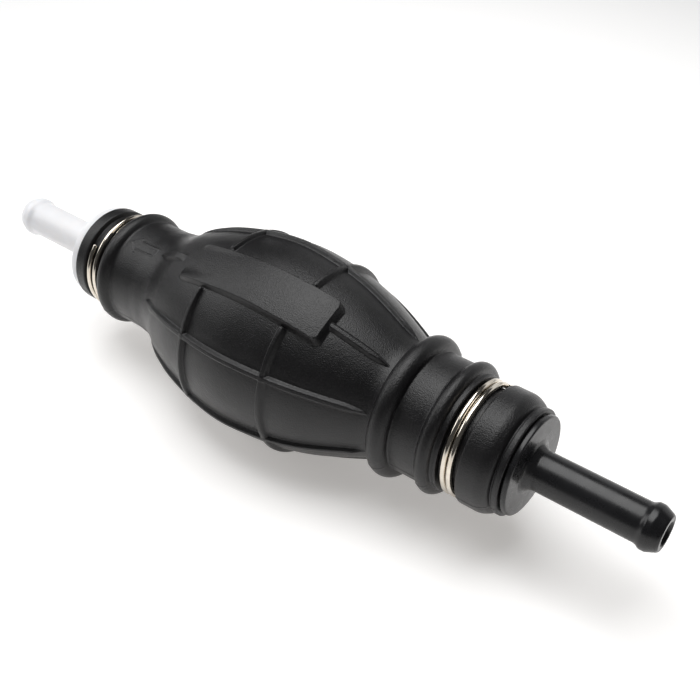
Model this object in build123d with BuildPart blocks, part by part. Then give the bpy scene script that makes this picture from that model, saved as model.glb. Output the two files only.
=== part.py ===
"""Siphon bulb pump: a squeezable rubber bulb with a one-way valve fitting clamped in each neck.

Millimetres. The origin is on the pump's axis, half way between the two spigot tips.
+X runs from the outlet (white) spigot to the inlet (black) spigot. +Z is up as the pump
lies on its two hoops, with the blank label plate rolled towards -Y.
"""
import os

from build123d import *

os.makedirs("parts", exist_ok=True)

# ---- Overall layout along X -------------------------------------------------------------
BODY_END = 54.8          # half length of the rubber body
TIP_END = 82.35          # half length over both spigot tips
BELLY_MID = -3.5         # middle of the label plate, between the two hoops
LABEL_ROLL = 22.5        # roll of the label plate from +Z towards -Y, degrees

# ---- Rubber bulb ------------------------------------------------------------------------
WALL = 2.8               # belly wall
NECK_BORE_R = 8.0        # bore that grips the fittings
RIB_COUNT = 8
RIB_W = 1.8
RIB_H = 0.9
RIB_START = -30.8
RIB_FINISH = 26.6
HOOP_H = 0.98
RIB_RISE = 8.0           # length over which a rib grows to its full height
HOOPS = (-13.9, 7.1)     # the two hoops
PLATE_L = 37.2           # blank label plate, measured at its foot
PLATE_W = 10.6
PLATE_DRAFT = 8.0        # slope of its sides, degrees
PLATE_LOW = 0.3          # its height at the outlet end, almost flush with the belly
PLATE_HIGH = 2.05        # its height at the inlet end
PLATE_CORNER_R = 2.0
PLATE_FOOT_Z = 15.0
ARROW_LINE = 0.28        # flow arrow moulded in outline on the outlet neck
ARROW_H = 0.15

# Belly outline (x, radius) between the outlet neck and the first ring of the inlet neck.
BELLY = [
    (-37.5, 11.75),
    (-35.0, 12.03),
    (-33.0, 12.35),
    (-31.0, 13.05),
    (-29.0, 14.2),
    (-27.0, 15.35),
    (-25.0, 16.2),
    (-22.0, 17.35),
    (-18.0, 18.6),
    (-13.75, 19.65),
    (-9.0, 20.5),
    (-4.0, 20.93),
    (1.0, 20.7),
    (6.35, 19.95),
    (11.0, 18.95),
    (16.0, 17.32),
    (20.0, 15.65),
    (24.0, 13.8),
    (26.3, 12.85),
    (27.752, 12.65),
]

# ---- Neck rings and clamp grooves -------------------------------------------------------
OUT_GROOVE_R = 10.0
OUT_GROOVE_X = -49.05    # middle of the clamp in the outlet groove
IN_GROOVE_R = 10.6
IN_GROOVE_X = 44.52      # middle of the clamp in the inlet groove

# ---- Fittings ---------------------------------------------------------------------------
PORT_R = 2.5             # flow bore through each spigot
SHANK_R = 4.0            # 8 mm hose spigot
BEAD_R = 4.55            # retaining bead near the tip
TIP_R = 3.55
INSERT_R = 7.97          # barbs of the insert inside the rubber neck
INSERT_ROOT_R = 7.55
CHAMBER_R = 6.3          # valve chamber inside the insert
IN_FLANGE_R = 10.15
IN_FLANGE_T = 1.25
OUT_FLANGE_R = 10.4
OUT_FLANGE_T = 2.0

# ---- Valves -----------------------------------------------------------------------------
VALVE_TRAVEL = 1.8
IN_SEAT_X = 46.4         # face of the seat rim inside the inlet fitting
IN_MOUTH_X = 35.0        # bulb end of the inlet insert
OUT_SEAT_X = -40.6       # face of the seat ring's rim inside the outlet fitting
OUT_MOUTH_X = -36.6      # bulb end of the outlet insert
OUT_FLOOR_X = -51.0      # spring seat inside the outlet chamber
SEAT_GAP = 0.02
SEAL_R = 4.5
SEAL_T = 1.0
DISC_R = 4.8
DISC_T = 1.5
BOSS_R = 1.2
STEM_R = 1.0
STEM_GUIDE_R = 1.06
SPRING_WIRE = 0.5

# ---- Wire hose clamps -------------------------------------------------------------------
CLAMP_WIRE = 1.3
IN_CLAMP_PITCH = 1.34
OUT_CLAMP_PITCH = 1.55
OUT_CLAMP_TURNS = 1.935
OUT_CLAMP_START = 43.4   # where the wire starts, from +Z towards -Y, degrees
IN_CLAMP_TURNS = 2.04
IN_CLAMP_START = -50.0
CLAMP_GAP = 0.02


def outer_line():
    """The bulb's outside from the outlet end to the inlet end, drawn as (x, radius)."""
    Polyline(
        (-BODY_END, NECK_BORE_R),
        (-BODY_END, 10.6),
        (-BODY_END + 0.4, 11.0),
        (-52.2, 11.0),
        (-51.8, 10.7),
        (-51.7, OUT_GROOVE_R),
        (-46.85, OUT_GROOVE_R),
        (-46.8, 11.5),
    )
    ThreePointArc((-46.8, 11.5), (-45.1, 12.9), (-43.35, 11.66))
    Line((-43.35, 11.66), BELLY[0])
    Spline(*BELLY, tangents=[(1, 0.02), (1, -0.05)])
    ThreePointArc(BELLY[-1], (29.95, 14.95), (32.145, 12.6))
    Line((32.145, 12.6), (38.29, 12.6))
    ThreePointArc((38.29, 12.6), (39.75, 13.75), (41.23, 12.0))
    Polyline(
        (41.23, 12.0),
        (42.3, 12.0),
        (42.42, IN_GROOVE_R),
        (46.62, IN_GROOVE_R),
        (46.75, 11.9),
        (47.1, 12.2),
        (51.0, 12.2),
        (52.3, 11.8),
        (52.9, 11.2),
        (53.2, 10.5),
        (53.45, 10.5),
        (53.65, 10.85),
        (BODY_END - 0.25, 10.85),
        (BODY_END, 10.6),
        (BODY_END, NECK_BORE_R),
    )


def inner_line():
    """The bulb's inside, drawn back from the inlet end to the outlet end."""
    inner = [(x, r - WALL) for x, r in reversed(BELLY[3:-3])]
    Polyline((BODY_END, NECK_BORE_R), (28.0, NECK_BORE_R), (24.5, 9.8), inner[0])
    Spline(*inner)
    Polyline(inner[-1], (-33.2, 9.4), (-35.4, NECK_BORE_R), (-BODY_END, NECK_BORE_R))


def belly_band(heights, inside=0.6):
    """A shell that follows the belly, from inside its surface up to a height at each point."""
    with BuildPart() as band:
        with BuildSketch(Plane.XZ):
            with BuildLine():
                top = [(x, r + h) for (x, r), h in zip(BELLY, heights)]
                low = [(x, r - inside) for x, r in reversed(BELLY)]
                Spline(*top)
                Line(top[-1], low[0])
                Spline(*low)
                Line(low[-1], top[0])
            make_face()
        revolve(axis=Axis.X)
    return band.part


def plate_height(x):
    """The label plate's top rises evenly from its outlet end to its inlet end."""
    share = (x - BELLY_MID + PLATE_L / 2) / PLATE_L
    return PLATE_LOW + (PLATE_HIGH - PLATE_LOW) * min(max(share, 0), 1)


def rib_height(x):
    """Ribs grow out of the shoulder at the outlet end."""
    share = (x - RIB_START) / RIB_RISE
    return RIB_H * (0.25 + 0.75 * min(max(share, 0), 1))


def spigot_points(end, flange_face, flange_r, body_face):
    """Half outline of flange and hose spigot; end is +1 for the inlet and -1 for the outlet."""
    return [
        (end * body_face, flange_r - 0.25),
        (end * (body_face + 0.3), flange_r),
        (end * (flange_face - 0.3), flange_r),
        (end * flange_face, flange_r - 0.3),
        (end * flange_face, SHANK_R + 1.5),
        (end * (flange_face + 0.45), SHANK_R + 0.45),
        (end * (flange_face + 1.5), SHANK_R),
        (end * (TIP_END - 4.2), SHANK_R),
        (end * (TIP_END - 3.2), BEAD_R),
        (end * (TIP_END - 2.2), BEAD_R),
        (end * (TIP_END - 0.35), TIP_R + 0.2),
        (end * TIP_END, TIP_R - 0.15),
        (end * TIP_END, PORT_R),
    ]


def insert_points(end, body_face, mouth):
    """Half outline of the barbed insert, from its mouth in the bulb out to the flange."""
    pitch = (body_face - 0.8 - mouth) / 4
    points = [(end * mouth, INSERT_R - 0.6), (end * (mouth + 0.6), INSERT_R)]
    for i in range(1, 4):
        crest = mouth + i * pitch
        points += [
            (end * crest, INSERT_R),
            (end * (crest + 0.05), INSERT_ROOT_R),
            (end * (crest + 1.2), INSERT_ROOT_R),
            (end * (crest + 2.4), INSERT_R),
        ]
    points += [(end * body_face, INSERT_R)]
    return points


# ---- Label plate, ribs, arrow and parting line, moulded with the bulb -------------------
plate_shell = belly_band([plate_height(x) for x, r in BELLY])
with BuildPart() as label_plate:
    add(plate_shell)
    with BuildSketch(Plane.XY.offset(PLATE_FOOT_Z)):
        with Locations((BELLY_MID, 0)):
            RectangleRounded(PLATE_L, PLATE_W, PLATE_CORNER_R)
    extrude(amount=9, taper=PLATE_DRAFT, mode=Mode.INTERSECT)

rib_shell = belly_band([rib_height(x) for x, r in BELLY])
hoop_shell = belly_band([HOOP_H for x, r in BELLY])
with BuildPart() as rib:
    add(rib_shell)
    with BuildSketch(Plane.XY.offset(8)):
        with BuildLine():
            Polyline(
                (RIB_START, 0),
                (RIB_START + 2.4, RIB_W / 2 + 0.2),
                (RIB_START + 5.0, RIB_W / 2),
                (RIB_FINISH - 3.4, RIB_W / 2),
                (RIB_FINISH, 0),
                (RIB_FINISH - 3.4, -RIB_W / 2),
                (RIB_START + 5.0, -RIB_W / 2),
                (RIB_START + 2.4, -RIB_W / 2 - 0.2),
                close=True,
            )
        make_face()
    extrude(amount=16, mode=Mode.INTERSECT)

# The label plate takes the place of its own rib, which shows only past the plate's two ends.
with BuildPart() as label_rib:
    add(rib.part)
    with Locations((-5.25, 0, 15)):
        Box(38.5, 6, 30, mode=Mode.SUBTRACT)

with BuildPart() as hoops:
    add(hoop_shell)
    with BuildSketch(Plane.XZ):
        with Locations((HOOPS[0], 20), (HOOPS[1], 20)):
            Rectangle(RIB_W, 8)
    revolve(axis=Axis.X, mode=Mode.INTERSECT)
    with Locations((BELLY_MID, 0, 15)):
        Box(PLATE_L, 9.3, 30, mode=Mode.SUBTRACT)

NECK_LINE = [(-42.6, 11.66), BELLY[0], BELLY[1], BELLY[2]]
with BuildPart() as arrow:
    with BuildSketch(Plane.XZ):
        with BuildLine():
            Polyline(
                *[(x, r + ARROW_H) for x, r in NECK_LINE],
                *[(x, r - 0.5) for x, r in reversed(NECK_LINE)],
                close=True,
            )
        make_face()
    revolve(axis=Axis.X)
    with BuildSketch(Plane.XY.offset(5)):
        with BuildLine():
            Polyline(
                (-42.2, 0),
                (-39.9, 2.0),
                (-39.9, 1.12),
                (-34.4, 1.12),
                (-34.4, -1.12),
                (-39.9, -1.12),
                (-39.9, -2.0),
                close=True,
            )
        make_face()
        offset(amount=-ARROW_LINE, kind=Kind.INTERSECTION, mode=Mode.SUBTRACT)
    extrude(amount=12, mode=Mode.INTERSECT)

# ---- Bulb -------------------------------------------------------------------------------
with BuildPart() as bulb:
    with BuildSketch(Plane.XZ):
        with BuildLine():
            outer_line()
            inner_line()
        make_face()
    revolve(axis=Axis.X)
    add(hoops.part.rotate(Axis.X, LABEL_ROLL))
    add(label_rib.part.rotate(Axis.X, LABEL_ROLL))
    for i in range(1, RIB_COUNT):
        add(rib.part.rotate(Axis.X, LABEL_ROLL + i * 360 / RIB_COUNT))
    add(label_plate.part.rotate(Axis.X, LABEL_ROLL))
    add(arrow.part.rotate(Axis.X, LABEL_ROLL))

# ---- Inlet fitting: black, seat moulded in, valve chamber open towards the bulb ----------
in_flange_face = BODY_END + 0.1 + IN_FLANGE_T
with BuildPart() as inlet_fitting:
    with BuildSketch(Plane.XZ):
        with BuildLine():
            Polyline(
                (IN_MOUTH_X, CHAMBER_R),
                *insert_points(1, BODY_END + 0.1, IN_MOUTH_X),
                *spigot_points(1, in_flange_face, IN_FLANGE_R, BODY_END + 0.1),
                (IN_SEAT_X, PORT_R),
                (IN_SEAT_X, PORT_R + 0.9),
                (IN_SEAT_X + 0.6, PORT_R + 1.3),
                (IN_SEAT_X + 0.6, CHAMBER_R),
                close=True,
            )
        make_face()
    revolve(axis=Axis.X)

# ---- Inlet valve ------------------------------------------------------------------------
IN_SEAL_FACE = IN_SEAT_X - SEAT_GAP
IN_DISC_X = IN_SEAL_FACE - SEAL_T
IN_BACK_X = IN_DISC_X - DISC_T
CAGE_FACE_X = 38.4
CAGE_T = 2.2

with BuildPart() as inlet_poppet_seal:
    with BuildSketch(Plane.YZ.offset(IN_DISC_X)):
        Circle(SEAL_R)
        Circle(BOSS_R, mode=Mode.SUBTRACT)
    extrude(amount=SEAL_T)
    outer_rims = inlet_poppet_seal.edges().filter_by(GeomType.CIRCLE).filter_by(
        lambda e: e.radius > 2
    )
    fillet(outer_rims, 0.2)

with BuildPart() as inlet_poppet:
    with BuildSketch(Plane.XZ):
        with BuildLine():
            Polyline(
                (CAGE_FACE_X - CAGE_T - 1.0, 0),
                (CAGE_FACE_X - CAGE_T - 1.0, STEM_R - 0.3),
                (CAGE_FACE_X - CAGE_T - 0.7, STEM_R),
                (IN_BACK_X - 0.9, STEM_R),
                (IN_BACK_X - 0.9, 1.55),
                (IN_BACK_X, 1.65),
                (IN_BACK_X, DISC_R - 0.4),
                (IN_BACK_X + 0.4, DISC_R),
                (IN_DISC_X, DISC_R),
                (IN_DISC_X, BOSS_R),
                (IN_SEAL_FACE, BOSS_R),
                (IN_SEAL_FACE + 0.1, 1.75),
                (IN_SEAL_FACE + 0.5, 1.75),
                (IN_SEAL_FACE + 1.2, 0.8),
                (IN_SEAL_FACE + 1.2, 0),
                close=True,
            )
        make_face()
    revolve(axis=Axis.X)

with BuildPart() as inlet_cage:
    with BuildSketch(Plane.YZ.offset(CAGE_FACE_X - CAGE_T)):
        Circle(CHAMBER_R - 0.02)
        Circle(CHAMBER_R - 1.1, mode=Mode.SUBTRACT)
        Circle(2.9)
        with PolarLocations(2.0, 3):
            Rectangle(7.4, 1.3)
        Circle(CHAMBER_R - 0.02, mode=Mode.INTERSECT)
        Circle(STEM_GUIDE_R, mode=Mode.SUBTRACT)
    extrude(amount=CAGE_T)

# ---- Outlet fitting: white, spring seat moulded in, seat ring pressed into its mouth -----
out_flange_face = BODY_END + 0.1 + OUT_FLANGE_T
with BuildPart() as outlet_fitting:
    with BuildSketch(Plane.XZ):
        with BuildLine():
            Polyline(
                (OUT_MOUTH_X, CHAMBER_R),
                *insert_points(-1, BODY_END + 0.1, -OUT_MOUTH_X),
                *spigot_points(-1, out_flange_face, OUT_FLANGE_R, BODY_END + 0.1),
                (OUT_FLOOR_X - 0.6, PORT_R),
                (OUT_FLOOR_X - 0.6, 3.9),
                (OUT_FLOOR_X, 3.9),
                (OUT_FLOOR_X, CHAMBER_R),
                close=True,
            )
        make_face()
    revolve(axis=Axis.X)

# ---- Outlet valve -----------------------------------------------------------------------
WING_R = 2.84
SEAT_BORE_R = 2.9
OUT_SEAL_FACE = OUT_SEAT_X - SEAT_GAP
OUT_DISC_X = OUT_SEAL_FACE - SEAL_T
OUT_BACK_X = OUT_DISC_X - DISC_T

with BuildPart() as outlet_seat:
    with BuildSketch(Plane.XZ):
        with BuildLine():
            Polyline(
                (OUT_SEAT_X, SEAT_BORE_R),
                (OUT_SEAT_X, SEAT_BORE_R + 0.8),
                (OUT_SEAT_X + 0.6, SEAT_BORE_R + 1.2),
                (OUT_SEAT_X + 0.6, CHAMBER_R - 0.02),
                (OUT_MOUTH_X - 0.3, CHAMBER_R - 0.02),
                (OUT_MOUTH_X, CHAMBER_R - 0.3),
                (OUT_MOUTH_X, SEAT_BORE_R + 0.5),
                (OUT_MOUTH_X - 0.5, SEAT_BORE_R),
                close=True,
            )
        make_face()
    revolve(axis=Axis.X)

with BuildPart() as outlet_poppet_seal:
    with BuildSketch(Plane.YZ.offset(OUT_DISC_X)):
        Circle(SEAL_R)
        Circle(BOSS_R, mode=Mode.SUBTRACT)
    extrude(amount=SEAL_T)
    outer_rims = outlet_poppet_seal.edges().filter_by(GeomType.CIRCLE).filter_by(
        lambda e: e.radius > 2
    )
    fillet(outer_rims, 0.2)

with BuildPart() as outlet_poppet:
    with BuildSketch(Plane.XZ):
        with BuildLine():
            Polyline(
                (OUT_BACK_X - 1.2, 0),
                (OUT_BACK_X - 1.2, 2.6),
                (OUT_BACK_X - 0.9, 2.95),
                (OUT_BACK_X, 2.95),
                (OUT_BACK_X, DISC_R - 0.4),
                (OUT_BACK_X + 0.4, DISC_R),
                (OUT_DISC_X, DISC_R),
                (OUT_DISC_X, BOSS_R),
                (OUT_MOUTH_X - 0.6, BOSS_R),
                (OUT_MOUTH_X, 0.6),
                (OUT_MOUTH_X, 0),
                close=True,
            )
        make_face()
    revolve(axis=Axis.X)
    with BuildSketch(Plane.YZ.offset(OUT_SEAL_FACE + 0.1)):
        with PolarLocations(0, 3):
            with Locations((WING_R / 2 + 0.2, 0)):
                Rectangle(WING_R, 0.8)
        Circle(WING_R, mode=Mode.INTERSECT)
    extrude(amount=OUT_MOUTH_X - 0.4 - OUT_SEAL_FACE)


def coil_spring(start_x, length, mean_r, wire, turns, lead):
    """An open coil along +X; lead rolls its start round the axis, in degrees."""
    with BuildPart() as coil:
        with BuildLine():
            path = Helix(
                pitch=length / turns,
                height=length,
                radius=mean_r,
                center=(start_x, 0, 0),
                direction=(1, 0, 0),
            )
        with BuildSketch(Plane(origin=path @ 0, z_dir=path % 0)):
            Circle(wire / 2)
        sweep()
    return coil.part.rotate(Axis.X, lead)


with BuildPart() as inlet_spring:
    spring_start = CAGE_FACE_X + SPRING_WIRE / 2 + 0.02
    spring_length = IN_BACK_X - SPRING_WIRE / 2 - 0.02 - spring_start
    add(coil_spring(spring_start, spring_length, 2.25, SPRING_WIRE, 4.5, 20))

with BuildPart() as outlet_spring:
    spring_start = OUT_FLOOR_X - 0.6 + SPRING_WIRE / 2 + 0.02
    spring_length = OUT_BACK_X - SPRING_WIRE / 2 - 0.02 - spring_start
    add(coil_spring(spring_start, spring_length, 3.35, SPRING_WIRE, 5.5, 140))

# ---- Wire clamps: two turns of spring wire in each groove --------------------------------
with BuildPart() as outlet_clamp:
    clamp_length = OUT_CLAMP_PITCH * OUT_CLAMP_TURNS
    clamp_start = OUT_GROOVE_X - clamp_length / 2
    clamp_r = OUT_GROOVE_R + CLAMP_GAP + CLAMP_WIRE / 2
    add(coil_spring(clamp_start, clamp_length, clamp_r, CLAMP_WIRE, OUT_CLAMP_TURNS,
                    OUT_CLAMP_START))

with BuildPart() as inlet_clamp:
    clamp_length = IN_CLAMP_PITCH * IN_CLAMP_TURNS
    clamp_start = IN_GROOVE_X - clamp_length / 2
    clamp_r = IN_GROOVE_R + CLAMP_GAP + CLAMP_WIRE / 2
    add(coil_spring(clamp_start, clamp_length, clamp_r, CLAMP_WIRE, IN_CLAMP_TURNS,
                    IN_CLAMP_START))

bulb.part.label = "bulb"
inlet_fitting.part.label = "inlet_fitting"
inlet_poppet.part.label = "inlet_poppet"
inlet_poppet_seal.part.label = "inlet_poppet_seal"
inlet_spring.part.label = "inlet_spring"
inlet_cage.part.label = "inlet_cage"
inlet_clamp.part.label = "inlet_clamp"
outlet_fitting.part.label = "outlet_fitting"
outlet_seat.part.label = "outlet_seat"
outlet_poppet.part.label = "outlet_poppet"
outlet_poppet_seal.part.label = "outlet_poppet_seal"
outlet_spring.part.label = "outlet_spring"
outlet_clamp.part.label = "outlet_clamp"

export_step(bulb.part, "parts/bulb.step")
export_step(inlet_fitting.part, "parts/inlet_fitting.step")
export_step(inlet_poppet.part, "parts/inlet_poppet.step")
export_step(inlet_poppet_seal.part, "parts/inlet_poppet_seal.step")
export_step(inlet_spring.part, "parts/inlet_spring.step")
export_step(inlet_cage.part, "parts/inlet_cage.step")
export_step(inlet_clamp.part, "parts/inlet_clamp.step")
export_step(outlet_fitting.part, "parts/outlet_fitting.step")
export_step(outlet_seat.part, "parts/outlet_seat.step")
export_step(outlet_poppet.part, "parts/outlet_poppet.step")
export_step(outlet_poppet_seal.part, "parts/outlet_poppet_seal.step")
export_step(outlet_spring.part, "parts/outlet_spring.step")
export_step(outlet_clamp.part, "parts/outlet_clamp.step")
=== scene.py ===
import math

import bpy
import numpy as np
from mathutils import Matrix, Vector


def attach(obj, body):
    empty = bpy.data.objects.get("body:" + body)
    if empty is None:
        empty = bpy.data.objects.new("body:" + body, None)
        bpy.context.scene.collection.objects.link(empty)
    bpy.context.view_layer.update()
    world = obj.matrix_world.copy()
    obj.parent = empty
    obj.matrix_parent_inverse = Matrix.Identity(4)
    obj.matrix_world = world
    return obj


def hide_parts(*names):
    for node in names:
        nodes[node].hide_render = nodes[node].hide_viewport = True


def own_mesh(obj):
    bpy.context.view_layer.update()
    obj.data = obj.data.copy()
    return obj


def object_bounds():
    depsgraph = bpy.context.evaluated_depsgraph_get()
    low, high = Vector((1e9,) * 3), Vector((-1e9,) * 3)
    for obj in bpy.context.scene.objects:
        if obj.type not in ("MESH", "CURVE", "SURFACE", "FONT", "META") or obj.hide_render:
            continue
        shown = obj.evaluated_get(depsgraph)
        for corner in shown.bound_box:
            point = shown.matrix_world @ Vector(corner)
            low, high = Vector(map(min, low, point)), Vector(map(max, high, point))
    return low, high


MM = 0.001
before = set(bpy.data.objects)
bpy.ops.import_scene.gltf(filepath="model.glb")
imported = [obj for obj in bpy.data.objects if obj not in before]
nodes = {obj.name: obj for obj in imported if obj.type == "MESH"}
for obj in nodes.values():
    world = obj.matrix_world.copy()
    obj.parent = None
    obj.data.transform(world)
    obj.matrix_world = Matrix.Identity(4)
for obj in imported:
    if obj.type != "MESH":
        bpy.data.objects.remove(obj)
cad_low, cad_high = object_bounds()
scene = bpy.context.scene

# ---------------------------------------------------------------- sizes, mm, as in part.py
LABEL_ROLL = 22.5
BELLY_MID = -3.5
NECK_BORE_R = 8.0
TIP_END = 82.35
BODY_END = 54.8
HOOPS = (-13.9, 7.1)
RIB_H = 0.9                    # ribs and hoops stand this proud of the belly
RIB_HALF_W = 0.62              # half width of a rib's or hoop's flat top
RIB_EDGE = 0.34                # half width of the slope on either side of it
RIB_FROM, RIB_TO = -31.0, 26.8
PLATE_L, PLATE_W = 36.6, 10.0
PLATE_CORNER_R = 1.6
PLATE_LOW, PLATE_HIGH = 0.0, 1.74
PLATE_CROWN_R = 42.0           # the plate is flatter across than the belly
ARROW_H = 0.10
WALL = 2.8

BELLY = np.array([
    (-37.5, 11.75), (-35.0, 12.03), (-33.0, 12.35), (-31.0, 13.05), (-29.0, 14.2),
    (-27.0, 15.35), (-25.0, 16.2), (-22.0, 17.35), (-18.0, 18.6), (-13.75, 19.65),
    (-9.0, 20.5), (-4.0, 20.93), (1.0, 20.7), (6.35, 19.95), (11.0, 18.95), (16.0, 17.32),
    (20.0, 15.65), (24.0, 13.8), (26.3, 12.85), (27.752, 12.65),
])


# ---------------------------------------------------------------- small maths helpers
def smooth(t):
    t = np.clip(t, 0.0, 1.0)
    return t * t * (3 - 2 * t)


def cubic(xs, ys, x, m0, m1):
    """Clamped cubic spline through (xs, ys) with end slopes m0 and m1."""
    n = len(xs)
    h = np.diff(xs)
    a = np.zeros((n, n))
    b = np.zeros(n)
    a[0, 0] = a[-1, -1] = 1.0
    b[0], b[-1] = m0, m1
    for i in range(1, n - 1):
        a[i, i - 1] = 1 / h[i - 1]
        a[i, i] = 2 * (1 / h[i - 1] + 1 / h[i])
        a[i, i + 1] = 1 / h[i]
        b[i] = 3 * ((ys[i] - ys[i - 1]) / h[i - 1] ** 2 + (ys[i + 1] - ys[i]) / h[i] ** 2)
    m = np.linalg.solve(a, b)
    i = np.clip(np.searchsorted(xs, x) - 1, 0, n - 2)
    t = (x - xs[i]) / h[i]
    return ((1 + 2 * t) * (1 - t) ** 2 * ys[i] + t * (1 - t) ** 2 * h[i] * m[i]
            + t * t * (3 - 2 * t) * ys[i + 1] + t * t * (t - 1) * h[i] * m[i + 1])


def arc3(p, q, s, n):
    """n + 1 points on the circle through p, q and s, from p to s."""
    ax, ay = p
    bx, by = q
    cx, cy = s
    d = 2 * (ax * (by - cy) + bx * (cy - ay) + cx * (ay - by))
    ux = ((ax * ax + ay * ay) * (by - cy) + (bx * bx + by * by) * (cy - ay)
          + (cx * cx + cy * cy) * (ay - by)) / d
    uy = ((ax * ax + ay * ay) * (cx - bx) + (bx * bx + by * by) * (ax - cx)
          + (cx * cx + cy * cy) * (bx - ax)) / d
    r = math.hypot(ax - ux, ay - uy)
    t0, t1, t2 = (math.atan2(y - uy, x - ux) for x, y in (p, q, s))
    while t1 > t0:
        t1 -= 2 * math.pi
    while t2 > t1:
        t2 -= 2 * math.pi
    if t0 - t2 > 2 * math.pi:
        t2 += 2 * math.pi
    return [(ux + r * math.cos(t), uy + r * math.sin(t)) for t in np.linspace(t0, t2, n + 1)]


def rounded(points, radii, seg=5):
    """A polyline (x, r) with its corners rounded."""
    out = [points[0]]
    for i in range(1, len(points) - 1):
        p, c, n = (np.array(points[j], float) for j in (i - 1, i, i + 1))
        rad = radii[i] if isinstance(radii, dict) and i in radii else (
            radii.get("all", 0.2) if isinstance(radii, dict) else radii)
        a, b = p - c, n - c
        la, lb = np.linalg.norm(a), np.linalg.norm(b)
        if la < 1e-6 or lb < 1e-6 or rad <= 0:
            out.append(tuple(c))
            continue
        a, b = a / la, b / lb
        ang = math.acos(max(-1, min(1, a @ b)))
        cut = min(rad / max(math.tan(ang / 2), 1e-4), 0.45 * la, 0.45 * lb)
        for t in np.linspace(0, 1, seg + 1):
            out.append(tuple((1 - t) ** 2 * (c + a * cut) + 2 * t * (1 - t) * c
                             + t * t * (c + b * cut)))
    out.append(points[-1])
    return out


def resample(points, step):
    """Points along a polyline no further apart than step, corners kept."""
    out = [points[0]]
    for p, q in zip(points[:-1], points[1:]):
        n = max(1, math.ceil(math.dist(p, q) / step))
        for k in range(1, n + 1):
            out.append((p[0] + (q[0] - p[0]) * k / n, p[1] + (q[1] - p[1]) * k / n))
    return out


def make_mesh(name, verts_mm, faces):
    me = bpy.data.meshes.new(name)
    me.from_pydata([tuple(v) for v in np.asarray(verts_mm) * MM], [], faces)
    me.validate()
    me.update()
    me.polygons.foreach_set("use_smooth", [True] * len(me.polygons))
    o = bpy.data.objects.new(name, me)
    scene.collection.objects.link(o)
    return o


def grid_faces(rows, cols, close_rows=False):
    """Quads of a closed-in-columns grid."""
    faces = []
    last = rows if close_rows else rows - 1
    for i in range(last):
        a = i * cols
        b = ((i + 1) % rows) * cols
        for j in range(cols):
            k = (j + 1) % cols
            faces.append((a + j, b + j, b + k, a + k))
    return faces


def lathe(name, profile, cols=128, closed=True):
    """Solid of revolution about X from (x, radius) points; the profile is a closed loop."""
    p = np.array(profile)
    t = np.linspace(0, 2 * math.pi, cols, endpoint=False)
    x = np.repeat(p[:, 0:1], cols, 1)
    y = -p[:, 1:2] * np.sin(t)
    z = p[:, 1:2] * np.cos(t)
    v = np.stack([x, y, z], -1).reshape(-1, 3)
    return make_mesh(name, v, grid_faces(len(p), cols, closed))


# ---------------------------------------------------------------- rubber bulb
def bulb_profile():
    """Outside of the bulb from outlet end to inlet end."""
    left = rounded([
        (-BODY_END, NECK_BORE_R), (-BODY_END, 11.0), (-52.05, 11.0), (-51.75, 10.0),
        (-46.85, 10.0), (-46.8, 11.5),
    ], {"all": 0.35, 1: 0.5, 3: 0.2, 4: 0.2}, 6)
    left = resample(left, 0.22)
    left += arc3((-46.8, 11.5), (-45.1, 12.9), (-43.35, 11.66), 26)[1:]
    neck = resample([(-43.35, 11.66), (BELLY[0][0], BELLY[0][1])], 0.16)[1:]
    x = np.arange(BELLY[0][0], BELLY[-1][0], 0.17)
    fine = [np.linspace(c - 0.4, c + 0.4, 9) for h in HOOPS for c in (h - 0.62, h + 0.62)]
    fine += [np.linspace(BELLY_MID + e * (PLATE_L / 2 - 0.3) - 0.5,
                         BELLY_MID + e * (PLATE_L / 2 - 0.3) + 0.5, 12) for e in (-1, 1)]
    x = np.unique(np.round(np.concatenate([x] + fine), 3))
    x = np.append(x[np.append(True, np.diff(x) > 0.06)], BELLY[-1][0])
    r = cubic(BELLY[:, 0], BELLY[:, 1], x, 0.02, -0.05)
    belly = list(zip(x, r))[1:]
    ring1 = arc3(tuple(BELLY[-1]), (29.95, 14.95), (32.145, 12.6), 44)[1:]
    neck2 = resample([(32.145, 12.6), (38.29, 12.6)], 0.22)[1:]
    ring2 = arc3((38.29, 12.6), (39.75, 13.75), (41.23, 12.0), 28)[1:]
    right = rounded([
        (41.23, 12.0), (42.35, 12.0), (42.42, 10.6), (46.62, 10.6), (46.75, 12.2),
        (51.1, 12.2), (52.8, 11.3), (53.2, 10.45), (53.5, 10.45), (53.65, 10.87),
        (BODY_END, 10.87), (BODY_END, NECK_BORE_R),
    ], {"all": 0.2, 1: 0.3, 4: 0.45, 5: 3.6, 6: 2.0, 10: 0.35}, 6)
    right = resample(right, 0.22)[1:]
    return np.array(left + neck + belly + ring1 + neck2 + ring2 + right)


def soften(points, x0, x1, passes, weight=0.5):
    """Blends the corner between two curves by averaging neighbouring profile points."""
    p = points.copy()
    sel = np.where((p[:, 0] > x0) & (p[:, 0] < x1))[0]
    for _ in range(passes):
        q = p.copy()
        q[sel] = (1 - weight) * p[sel] + weight * 0.5 * (p[sel - 1] + p[sel + 1])
        p = q
    return p


profile = bulb_profile()
for x0, x1, passes in ((-44.0, -42.4, 6), (27.2, 28.3, 3), (31.7, 32.7, 3), (37.8, 38.8, 3),
                       (40.9, 41.7, 3)):
    profile = soften(profile, x0, x1, passes)

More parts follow.
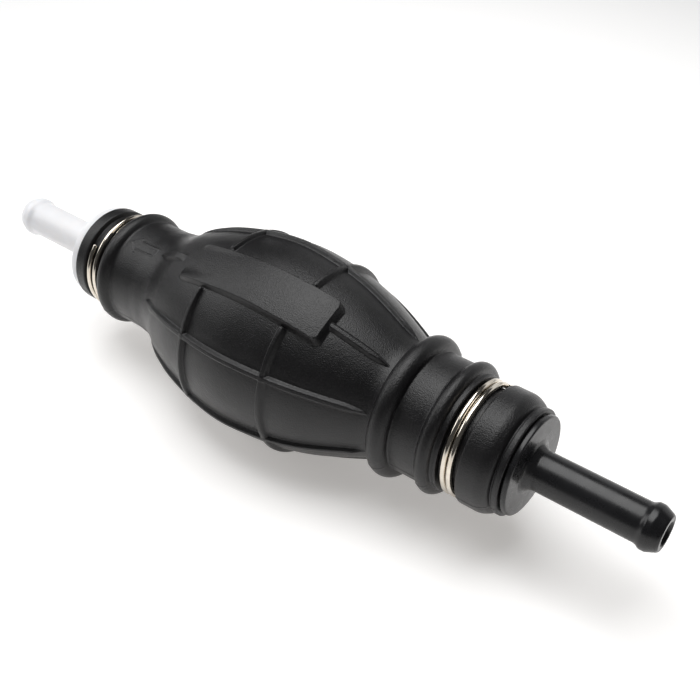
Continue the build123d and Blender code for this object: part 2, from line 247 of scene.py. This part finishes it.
# Columns: each eighth of the circle has a rib on its middle. Lines follow the edges of the
# ribs and of the label plate, so that both stay crisp.
half_arc = np.radians(22.5) * profile[:, 1]
marks_mm = [0.0, 0.24, 1.02, 4.00, 5.15]
marks_share = [0.0, 0.06, 0.24, 0.62, 0.78]
counts = [2, 9, 9, 12, 6]
lateral = []
for k, n in enumerate(counts):
    lo = np.minimum(marks_mm[k], marks_share[k] * half_arc)
    hi = half_arc if k == 4 else np.minimum(marks_mm[k + 1], marks_share[k + 1] * half_arc)
    for i in range(n):
        lateral.append(lo + (hi - lo) * i / n)
lateral = np.array(lateral).T                      # rows x columns of one half sector
mirrored = -np.concatenate([lateral[:, 1:], half_arc[:, None]], 1)[:, ::-1]
sector = np.concatenate([mirrored, lateral], 1)    # -half_arc ... just under +half_arc
R0 = profile[:, 1][:, None]
theta = np.concatenate([sector / R0 + np.radians(LABEL_ROLL + 45 * k) for k in range(8)], 1)
side = np.concatenate([sector] * 8, 1)             # distance from the nearest rib's middle
is_label = np.zeros_like(side, bool)
is_label[:, : sector.shape[1]] = True
X = np.repeat(profile[:, 0][:, None], theta.shape[1], 1)
R = np.repeat(R0, theta.shape[1], 1)
belly_zone = ((X > -34.9) & (X < 27.2)).astype(float)

# Ribs taper to a point at both ends.
half_width = RIB_HALF_W * np.minimum(np.clip((X - RIB_FROM) / 2.6, 0, 1),
                                     np.clip((RIB_TO - X) / 3.8, 0, 1) ** 0.8)
half_width *= 1 + 0.25 * np.exp(-((X + 28.2) / 1.6) ** 2)
rib = smooth((half_width + RIB_EDGE - np.abs(side)) / (2 * RIB_EDGE))
grow = 0.45 + 0.55 * np.clip((X + 30.8) / 8.0, 0, 1)
rib_h = RIB_H * rib * np.clip(half_width / 0.4, 0, 1) * grow
hoop_h = np.zeros_like(X)
for c in HOOPS:
    across = (RIB_HALF_W + RIB_EDGE - np.abs(X - c)) / (2 * RIB_EDGE)
    hoop_h = np.maximum(hoop_h, RIB_H * smooth(across))

# The label plate rises towards the inlet end. Its outlet end runs out flush, but for its
# corner on the +side. Its walls slope.
qx = np.abs(X - BELLY_MID) - (PLATE_L / 2 - PLATE_CORNER_R)
qy = np.abs(side) - (PLATE_W / 2 - PLATE_CORNER_R)
outside = np.hypot(np.maximum(qx, 0), np.maximum(qy, 0))
outside += np.minimum(np.maximum(qx, qy), 0) - PLATE_CORNER_R
rise = PLATE_LOW + (PLATE_HIGH - PLATE_LOW) * np.clip((X - BELLY_MID) / PLATE_L + 0.5, 0, 1)
rise += np.minimum(side ** 2 / 2 * (1 / R - 1 / PLATE_CROWN_R), 0.35)
rise *= np.clip(smooth((X + 21.9) / 3.5) + smooth((side - 2.8) / 1.4), 0, 1)
rise += 0.55 * smooth((side - 1.8) / 2.6) * smooth((-11.0 - X) / 8.0)
rise += 0.30 * smooth((-side - 3.2) / 1.4) * smooth((X + 22.5) / 3.0) * smooth((-7.0 - X) / 12.0)
slope_w = np.where(qx > qy, 0.62, np.where(side < 0, 0.55, 0.85))
wall = np.clip(-outside / slope_w, 0, 1)
wall = 0.55 * wall + 0.45 * smooth(wall)
plate_h = np.where(is_label, rise * wall, 0.0)

# Under the plate there is no rib and no hoop, and a short pointed stub leads into its outlet end.
covered = is_label & (outside < 0.1)
rib_h = np.where(is_label & (X < 13.0), 0.0, rib_h)
stub = smooth((0.82 * np.clip((X + 32.4) / 2.6, 0, 1) + 0.28 - np.abs(side)) / 0.5)
stub *= 0.98 * np.clip((X + 32.6) / 1.6, 0, 1) * smooth((-23.2 - X) / 3.2)
rib_h = np.where(is_label & (X < -20), stub, rib_h)
hoop_h = np.where(covered, 0.0, hoop_h)
height = np.maximum(np.maximum(rib_h, hoop_h), plate_h) * belly_zone

# A small fillet where a rib crosses a hoop.
pair = np.sort(np.stack([rib_h, hoop_h, plate_h]), axis=0)
crossing = (pair[1] > 0.05) & (plate_h < 0.02)
height += 0.06 * belly_zone * np.exp(-((pair[2] - pair[1]) / 0.25) ** 2) * crossing


# Flow arrow in raised outline on the outlet neck, pointing to the outlet.
def line_distance(px, py, points):
    best = np.full(px.shape, 9.0)
    for (ax, ay), (bx, by) in zip(points, points[1:] + points[:1]):
        dx, dy = bx - ax, by - ay
        t = np.clip(((px - ax) * dx + (py - ay) * dy) / (dx * dx + dy * dy), 0, 1)
        best = np.minimum(best, np.hypot(px - ax - t * dx, py - ay - t * dy))
    return best


arrow = [(-42.1, 0), (-40.0, 1.85), (-40.0, 1.0), (-34.5, 1.0), (-34.5, -1.0),
         (-40.0, -1.0), (-40.0, -1.85)]
near_arrow = is_label & (X > -43.2) & (X < -33.2)
d = np.where(near_arrow, line_distance(X, side, arrow), 9.0)
height += ARROW_H * smooth((0.26 - d) / 0.24)

# Mould parting line, a quarter turn each way from the label.
roll = np.radians(LABEL_ROLL)
for quarter in (-90, 90):
    off = np.angle(np.exp(1j * (theta - roll - np.radians(quarter)))) * R
    grow = smooth((X + 54.6) / 0.4) * smooth((54.6 - X) / 0.4)
    height += 0.09 * np.exp(-(off / 0.16) ** 2) * grow

# On the belly's slopes the features stand a little lower, as measured along the radius.
tangent = np.gradient(profile, axis=0)
tangent /= np.linalg.norm(tangent, axis=1)[:, None]
on_belly = (profile[:, 0] > -34) & (profile[:, 0] < 26)
lift = np.where(on_belly, tangent[:, 0], 1.0)[:, None]
RX = R + height * np.maximum(lift, 0.3)
outer = np.stack([X, -RX * np.sin(theta), RX * np.cos(theta)], -1)

inner_profile = [(BODY_END, NECK_BORE_R), (28.0, NECK_BORE_R), (24.5, 9.8)]
inner_profile += [(x, r - WALL) for x, r in BELLY[::-1][3:-3]]
inner_profile += [(-33.2, 9.4), (-35.4, NECK_BORE_R), (-BODY_END, NECK_BORE_R)]
inner_profile = np.array(resample(rounded(inner_profile, 1.0, 3), 1.6)[1:-1])
cols = theta.shape[1]
ring_theta = theta[-1][None, :]
inner = np.stack([
    np.repeat(inner_profile[:, 0:1], cols, 1),
    -inner_profile[:, 1:2] * np.sin(ring_theta),
    inner_profile[:, 1:2] * np.cos(ring_theta),
], -1)
verts = np.concatenate([outer.reshape(-1, 3), inner.reshape(-1, 3)])
n_rows = outer.shape[0] + inner.shape[0]
bulb = make_mesh("bulb_rubber", verts, grid_faces(n_rows, cols, True))
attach(bulb, "pump_body")
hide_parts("bulb")


# ---------------------------------------------------------------- fittings
def spigot(sign, flange_r, flange_t, flange_round, tip_round):
    """Loop of (x, radius) points round a fitting's flange and hose spigot, mouth of bore last."""
    f0 = BODY_END + 0.1
    f1 = f0 + flange_t
    pts = [
        (f0, 7.97), (f0, flange_r), (f1, flange_r), (f1, 5.6), (f1 + 0.25, 4.75),
        (f1 + 1.6, 4.0), (78.2, 4.0), (79.1, 4.55), (80.2, 4.55), (82.0, 3.75),
        (TIP_END, 3.45), (TIP_END, 2.5),
    ]
    loop = rounded(pts, {"all": 0.25, 1: flange_round, 2: flange_round, 3: 0.9, 4: 0.9, 5: 1.2,
                         6: 1.6, 7: 0.9, 8: 1.3, 9: tip_round, 10: 0.2}, 7)
    return [(sign * x, r) for x, r in loop]


inlet_loop = spigot(1, 10.15, 1.25, 0.45, 0.5)
inlet_loop += [(46.4, 2.5), (46.4, 3.4), (47.0, 3.8), (47.0, 6.3), (35.0, 6.3), (35.0, 7.4),
               (35.6, 7.97)]
inlet = lathe("inlet_fitting_body", inlet_loop, 192)
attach(inlet, "pump_body")
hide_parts("inlet_fitting")

outlet_loop = spigot(-1, 10.4, 2.0, 0.45, 0.5)
outlet_loop += [(-51.6, 2.5), (-51.6, 3.9), (-51.0, 3.9), (-51.0, 6.3), (-36.6, 6.3),
                (-36.6, 7.4), (-37.2, 7.97)]
outlet = lathe("outlet_fitting_body", outlet_loop[::-1], 192)
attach(outlet, "pump_body")
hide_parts("outlet_fitting")


# ---------------------------------------------------------------- wire clamps
def wire_coil(name, mid_x, mean_r, wire, pitch, turns, start_deg, per_turn=150, ring=20):
    """A wound wire with lightly rounded cut ends; start_deg is from +Z towards -Y."""
    n = int(per_turn * turns)
    t = np.linspace(0, 1, n + 1)
    ang = np.radians(start_deg) + t * turns * 2 * math.pi
    x = mid_x + (t - 0.5) * turns * pitch
    c = np.stack([x, -mean_r * np.sin(ang), mean_r * np.cos(ang)], -1)
    tan = np.gradient(c, axis=0)
    tan /= np.linalg.norm(tan, axis=1)[:, None]
    radial = np.stack([0 * x, -np.sin(ang), np.cos(ang)], -1)
    binormal = np.cross(tan, radial)
    centres, radii, frames = [], [], []
    rw = wire / 2
    for push, rad in ((0.0, 0.0), (0.0, rw * 0.86), (0.04, rw * 0.96), (0.1, rw)):
        centres.append(c[0] + tan[0] * push)
        radii.append(rad)
        frames.append((radial[0], binormal[0]))
    for i in range(1, n):
        centres.append(c[i])
        radii.append(rw)
        frames.append((radial[i], binormal[i]))
    for push, rad in ((0.1, rw), (0.04, rw * 0.96), (0.0, rw * 0.86), (0.0, 0.0)):
        centres.append(c[-1] - tan[-1] * push)
        radii.append(rad)
        frames.append((radial[-1], binormal[-1]))
    a = np.linspace(0, 2 * math.pi, ring, endpoint=False)
    v = [p + rad * (np.cos(a)[:, None] * f[0] + np.sin(a)[:, None] * f[1])
         for p, rad, f in zip(centres, radii, frames)]
    return make_mesh(name, np.concatenate(v), grid_faces(len(centres), ring))


clamps = []
for node, mid, r, wire, pitch, turns, start_at in (
    ("outlet_clamp", -49.05, 10.67, 1.06, 1.72, 1.935, 43.4),
    ("inlet_clamp", 44.52, 11.27, 1.2, 1.36, 2.04, -50.0),
):
    coil = wire_coil(node + "_wire", mid, r, wire, pitch, turns, start_at)
    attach(coil, "pump_body")
    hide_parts(node)
    clamps.append(coil)


# ---------------------------------------------------------------- materials
def new_material(name):
    m = bpy.data.materials.new(name)
    m.use_nodes = True
    nt = m.node_tree
    bsdf = next(n for n in nt.nodes if n.type == "BSDF_PRINCIPLED")
    return m, nt, bsdf


def noise(nt, scale, detail=4.0, rough=0.55, vector=None):
    n = nt.nodes.new("ShaderNodeTexNoise")
    n.inputs["Scale"].default_value = scale
    n.inputs["Detail"].default_value = detail
    n.inputs["Roughness"].default_value = rough
    if vector is not None:
        nt.links.new(vector, n.inputs["Vector"])
    return n


def ramp(nt, source, stops):
    r = nt.nodes.new("ShaderNodeValToRGB")
    el = r.color_ramp.elements
    while len(el) < len(stops):
        el.new(0.5)
    for e, (pos, col) in zip(el, stops):
        e.position = pos
        e.color = (*col, 1.0) if len(col) == 3 else col
    nt.links.new(source, r.inputs["Fac"])
    return r


def spread(nt, source, low, high, a=0.3, b=0.7):
    """Maps a texture's a..b to low..high."""
    m = nt.nodes.new("ShaderNodeMapRange")
    m.inputs["From Min"].default_value = a
    m.inputs["From Max"].default_value = b
    m.inputs["To Min"].default_value = low
    m.inputs["To Max"].default_value = high
    nt.links.new(source, m.inputs["Value"])
    return m.outputs["Result"]


def bump(nt, source, strength, distance, normal=None):
    b = nt.nodes.new("ShaderNodeBump")
    b.inputs["Strength"].default_value = strength
    b.inputs["Distance"].default_value = distance
    nt.links.new(source, b.inputs["Height"])
    if normal is not None:
        nt.links.new(normal, b.inputs["Normal"])
    return b.outputs["Normal"]


def coords(nt):
    return nt.nodes.new("ShaderNodeTexCoord").outputs["Object"]


def mottled(name, cloud_scale, dark, light, patch_scale, smoothest, roughest, detail=4):
    """A material whose colour and roughness both vary softly over the surface."""
    m, nt, bsdf = new_material(name)
    at = coords(nt)
    cloud = noise(nt, cloud_scale, detail, 0.6, at)
    col = ramp(nt, cloud.outputs["Fac"], [(0.3, dark), (0.7, light)])
    nt.links.new(col.outputs["Color"], bsdf.inputs["Base Color"])
    patch = noise(nt, patch_scale, 4, 0.6, at)
    nt.links.new(spread(nt, patch.outputs["Fac"], smoothest, roughest), bsdf.inputs["Roughness"])
    return m, nt, bsdf, at, patch.outputs["Fac"]


def rubber():
    m, nt, bsdf, at, _ = mottled("rubber_black", 55, (0.0050, 0.0049, 0.0054),
                                 (0.0085, 0.0082, 0.0089), 140, 0.29, 0.38, 5)
    bsdf.inputs["Specular IOR Level"].default_value = 0.38
    pebble = noise(nt, 4200, 2, 0.5, at)
    coarse = noise(nt, 900, 3, 0.5, at)
    grain = bump(nt, pebble.outputs["Fac"], 0.75, 0.00012)
    grain = bump(nt, coarse.outputs["Fac"], 0.10, 0.00014, grain)
    nt.links.new(grain, bsdf.inputs["Normal"])
    return m


def nylon_black():
    m, nt, bsdf, at, _ = mottled("nylon_black", 60, (0.007, 0.007, 0.008),
                                 (0.013, 0.013, 0.014), 260, 0.22, 0.34)
    bsdf.inputs["Specular IOR Level"].default_value = 0.38
    wave = noise(nt, 180, 2, 0.5, at)
    nt.links.new(bump(nt, wave.outputs["Fac"], 0.10, 0.0002), bsdf.inputs["Normal"])
    return m


def nylon_white():
    m, nt, bsdf, at, _ = mottled("nylon_white", 70, (0.76, 0.76, 0.78),
                                 (0.82, 0.82, 0.835), 200, 0.30, 0.42)
    bsdf.inputs["Subsurface Weight"].default_value = 0.55
    bsdf.inputs["Subsurface Radius"].default_value = (0.0022, 0.0024, 0.0026)
    bsdf.inputs["Subsurface Scale"].default_value = 1.0
    wave = noise(nt, 240, 2, 0.5, at)
    nt.links.new(bump(nt, wave.outputs["Fac"], 0.08, 0.0002), bsdf.inputs["Normal"])
    return m


def nickel():
    m, nt, bsdf, _, patch = mottled("nickel_wire", 300, (0.60, 0.54, 0.46),
                                    (0.77, 0.72, 0.64), 900, 0.09, 0.18)
    bsdf.inputs["Metallic"].default_value = 1.0
    nt.links.new(bump(nt, patch, 0.06, 0.00004), bsdf.inputs["Normal"])
    return m


def steel():
    m, _, bsdf, _, _ = mottled("spring_steel", 400, (0.50, 0.50, 0.51),
                               (0.66, 0.66, 0.67), 1200, 0.22, 0.36)
    bsdf.inputs["Metallic"].default_value = 1.0
    return m


def acetal():
    m, nt, bsdf, _, patch = mottled("valve_acetal", 90, (0.62, 0.61, 0.56),
                                    (0.70, 0.69, 0.64), 500, 0.38, 0.5)
    nt.links.new(bump(nt, patch, 0.1, 0.0001), bsdf.inputs["Normal"])
    return m


def nitrile():
    m, nt, bsdf, _, patch = mottled("seal_nitrile", 120, (0.018, 0.018, 0.018),
                                    (0.032, 0.031, 0.03), 700, 0.45, 0.6)
    nt.links.new(bump(nt, patch, 0.15, 0.0001), bsdf.inputs["Normal"])
    return m


def paint(obj, material):
    obj.data.materials.clear()
    obj.data.materials.append(material)


mat = {
    "rubber": rubber(), "black": nylon_black(), "white": nylon_white(), "nickel": nickel(),
    "steel": steel(), "acetal": acetal(), "nitrile": nitrile(),
}
paint(bulb, mat["rubber"])
paint(inlet, mat["black"])
paint(outlet, mat["white"])
for coil in clamps:
    paint(coil, mat["nickel"])
for name, key in (
    ("inlet_poppet", "acetal"), ("outlet_poppet", "acetal"), ("inlet_cage", "black"),
    ("outlet_seat", "white"), ("inlet_poppet_seal", "nitrile"), ("outlet_poppet_seal", "nitrile"),
    ("inlet_spring", "steel"), ("outlet_spring", "steel"),
):
    paint(nodes[name], mat[key])

# ---------------------------------------------------------------- spring coils
SPRING_WIRE = 0.5
for node, joint, fixed, free_len, r, turns, start_at in (
    ("inlet_spring", "inlet_valve_slide", 38.4, 5.5, 2.25, 4.5, 20),
    ("outlet_spring", "outlet_valve_slide", -51.6, 8.48, 3.35, 5.5, 140),
):
    pitch = (free_len - 0.66) / turns              # 0.08 clear of the seat at each end
    piece = wire_coil(node + "_coil", fixed + free_len / 2, r, SPRING_WIRE, pitch, turns,
                      start_at, 60, 12)
    paint(piece, mat["steel"])
    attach(piece, "pump_body")
    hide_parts(node)
    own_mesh(piece)


# ---------------------------------------------------------------- stage, light and camera
def stage_plane(name, size, z):
    me = bpy.data.meshes.new(name)
    s = size / 2
    me.from_pydata([(-s, -s, z), (s, -s, z), (s, s, z), (-s, s, z)], [], [(0, 1, 2, 3)])
    o = bpy.data.objects.new(name, me)
    scene.collection.objects.link(o)
    return o


floor = stage_plane("floor", 8.0, cad_low.z - 0.0002)
fm, fnt, fb = new_material("floor_painted_light_and_shade")
fb.inputs["Roughness"].default_value = 0.9
fb.inputs["Specular IOR Level"].default_value = 0.1
# Painted light: the floor glows warm white at strength 0.36 out to 0.11 m from the origin and
# fades to none by 0.30 m. This painted pool of light lightens the pump's cast shadow and casts a
# painted warm bounce onto its underside.
fb.inputs["Emission Color"].default_value = (1.0, 0.965, 0.93, 1)
distance = fnt.nodes.new("ShaderNodeVectorMath")
distance.operation = "LENGTH"
fnt.links.new(coords(fnt), distance.inputs[0])
fnt.links.new(spread(fnt, distance.outputs["Value"], 0.36, 0.0, 0.11, 0.30),
              fb.inputs["Emission Strength"])
# Painted shade: the floor's colour darkens from 0.80 near the pump to 0.32 far off, between 0.20
# m and 0.90 m from the origin. It stands in for the light falling away and dims the far floor's
# reflection in the rubber.
painted_floor_fade = ramp(fnt, spread(fnt, distance.outputs["Value"], 0.0, 1.0, 0.20, 0.90),
             [(0.0, (0.80, 0.80, 0.80)), (1.0, (0.32, 0.32, 0.32))])
fnt.links.new(painted_floor_fade.outputs["Color"], fb.inputs["Base Color"])
floor.data.materials.append(fm)

world = bpy.data.worlds.new("studio")
scene.world = world
world.use_nodes = True
world.node_tree.nodes["Background"].inputs["Color"].default_value = (1, 1, 1, 1)
world.node_tree.nodes["Background"].inputs["Strength"].default_value = 0.06


def area(name, loc, target, size, size_y, power):
    """A rectangular softbox at loc, facing target."""
    light = bpy.data.lights.new(name, "AREA")
    light.shape = "RECTANGLE"
    light.size = size
    light.size_y = size_y
    light.energy = power
    o = bpy.data.objects.new(name, light)
    scene.collection.objects.link(o)
    o.location = loc
    o.rotation_mode = "QUATERNION"
    o.rotation_quaternion = (Vector(target) - Vector(loc)).to_track_quat("-Z", "Y")


# Camera: looking down on the pump from in front of its inlet end.
cam_right = Vector((0.796, 0.605, 0.014)).normalized()
cam_fwd = Vector((-0.460, 0.620, -0.636)).normalized()
cam_up = cam_right.cross(cam_fwd).normalized()
cam_right = cam_fwd.cross(cam_up).normalized()
cam_data = bpy.data.cameras.new("camera")
cam_data.sensor_width = 36.0
cam_data.lens = 55.4
cam_data.clip_start = 0.01
cam_data.clip_end = 50
cam = bpy.data.objects.new("camera", cam_data)
scene.collection.objects.link(cam)
cam.matrix_world = Matrix((
    (cam_right.x, cam_up.x, -cam_fwd.x, 0.11165),
    (cam_right.y, cam_up.y, -cam_fwd.y, -0.1318),
    (cam_right.z, cam_up.z, -cam_fwd.z, 0.1413),
    (0, 0, 0, 1),
))
scene.camera = cam

area("key_top", (-0.12, 0.06, 0.88), (0, 0, 0), 0.82, 0.82, 9.4)
area("fill_left", (-0.88, -0.22, 0.56), (0, 0, 0.05), 0.85, 0.50, 3.7)
area("back", (0.10, 1.30, 0.35), (0, 0, 0), 1.80, 0.70, 2.9)

scene.view_settings.view_transform = "Standard"
